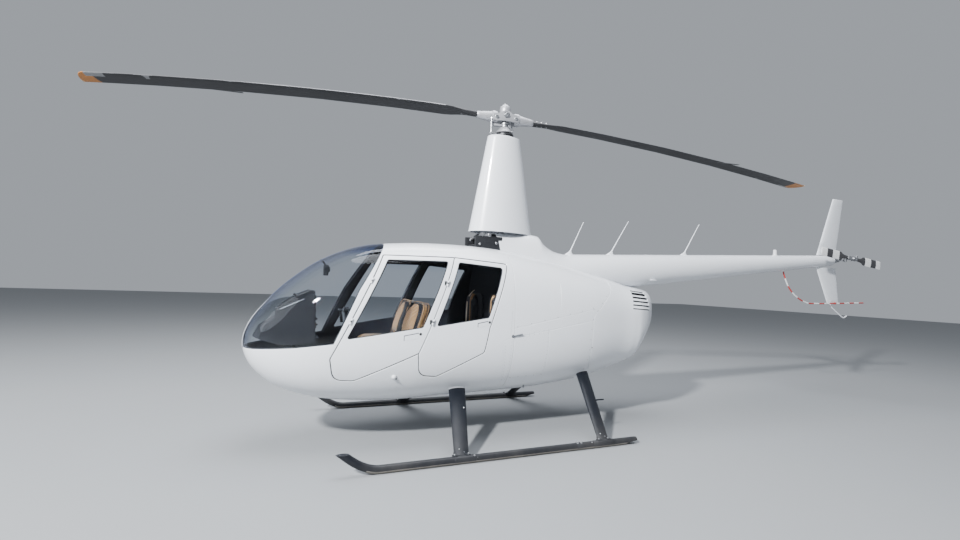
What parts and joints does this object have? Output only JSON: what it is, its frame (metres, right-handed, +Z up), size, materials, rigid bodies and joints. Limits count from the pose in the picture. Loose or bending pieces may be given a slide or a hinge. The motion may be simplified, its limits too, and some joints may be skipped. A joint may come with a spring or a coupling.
{
  "type": "light helicopter",
  "caption": "Light piston helicopter on skids, with a rounded glazed cabin, a tall faired mast, a teetering main rotor and a slim tail cone with fins and a tail rotor.",
  "frame": {"origin": "on the ground, under the middle of the whole object's box", "axes": "+Z up, nose towards -Y, tail towards +Y, port side towards +X"},
  "size_m": [2.218, 10.6709, 3.562],
  "materials": {
    "white_paint": "gloss white paint",
    "dark_trim": "satin black",
    "gear_paint": "satin blue-black paint",
    "blade_paint": "satin dark grey paint with orange tips",
    "bare_metal": "bare, satin",
    "steel": "heat-stained",
    "tan_leather": "tan, grained",
    "clear_pane": "clear acrylic",
    "banded_tube": "red and white bands",
    "cast_engine": "as cast"
  },
  "bodies": {
    "airframe": {"antenna_front": "white_paint", "antenna_middle": "white_paint", "antenna_rear": "white_paint", "cabin_floor": "dark_trim", "cabin_hoop": "dark_trim", "cabin_roof": "white_paint", "cabin_tub": "white_paint", "cyclic_stick": "dark_trim", "deck_fairing": "white_paint", "engine_block": "cast_engine", "engine_cowl": "white_paint", "exhaust_pipe": "steel", "front_back_port": "tan_leather", "front_back_starboard": "tan_leather", "front_cushion_port": "tan_leather", "front_cushion_starboard": "tan_leather", "front_leg_port": "gear_paint", "front_leg_starboard": "gear_paint", "front_seat_base": "dark_trim", "instrument_console": "dark_trim", "lower_fin": "white_paint", "main_gearbox": "dark_trim", "mast_fairing": "white_paint", "rear_back_port": "tan_leather", "rear_back_starboard": "tan_leather", "rear_bulkhead": "dark_trim", "rear_cowl": "white_paint", "rear_cushion_port": "tan_leather", "rear_cushion_starboard": "tan_leather", "rear_leg_port": "gear_paint", "rear_leg_starboard": "gear_paint", "rear_seat_base": "dark_trim", "skid_port": "gear_paint", "skid_starboard": "gear_paint", "stabiliser": "white_paint", "tail_beacon": "white_paint", "tail_cone": "white_paint", "tail_gearbox": "bare_metal", "tail_guard": "banded_tube", "upper_fin": "white_paint", "windscreen_bow": "white_paint", "windscreen_port": "clear_pane", "windscreen_starboard": "clear_pane"},
    "main_rotor": {"rotor_mast": "bare_metal", "rotor_hub": "bare_metal", "swashplate": "bare_metal", "main_blade_a": "blade_paint", "main_blade_b": "blade_paint"},
    "tail_rotor": {"tail_rotor_hub": "bare_metal", "tail_blade_a": "blade_paint", "tail_blade_b": "blade_paint"},
    "front_door_port_body": {"front_door_port": "white_paint", "front_window_port": "clear_pane"},
    "front_door_starboard_body": {"front_door_starboard": "white_paint", "front_window_starboard": "clear_pane"},
    "rear_door_port_body": {"rear_door_port": "white_paint", "rear_window_port": "clear_pane"},
    "rear_door_starboard_body": {"rear_door_starboard": "white_paint", "rear_window_starboard": "clear_pane"}
  },
  "joints": [
    {"name": "front_door_port_hinge", "type": "hinge", "parent": "airframe", "child": "front_door_port_body", "pos_m": [0.59273, -2.91446, 1.14], "axis": [0.1203, -0.4199, -0.8996], "range_deg": [0, 75]},
    {"name": "front_door_starboard_hinge", "type": "hinge", "parent": "airframe", "child": "front_door_starboard_body", "pos_m": [-0.59273, -2.91446, 1.14], "axis": [0.1203, 0.4199, 0.8996], "range_deg": [0, 75]},
    {"name": "rear_door_port_hinge", "type": "hinge", "parent": "airframe", "child": "rear_door_port_body", "pos_m": [0.6537, -2.19554, 1.14], "axis": [0.086, -0.35, -0.9328], "range_deg": [0, 75]},
    {"name": "rear_door_starboard_hinge", "type": "hinge", "parent": "airframe", "child": "rear_door_starboard_body", "pos_m": [-0.6537, -2.19554, 1.14], "axis": [0.086, 0.35, 0.9328], "range_deg": [0, 75]},
    {"name": "main_rotor_spin", "type": "hinge", "parent": "airframe", "child": "main_rotor", "pos_m": [0, -1.26855, 3.39], "axis": [0, 0, 1], "continuous": true},
    {"name": "tail_rotor_spin", "type": "hinge", "parent": "airframe", "child": "tail_rotor", "pos_m": [0.28, 4.60145, 2.115], "axis": [1, 0, 0], "continuous": true}
  ]
}
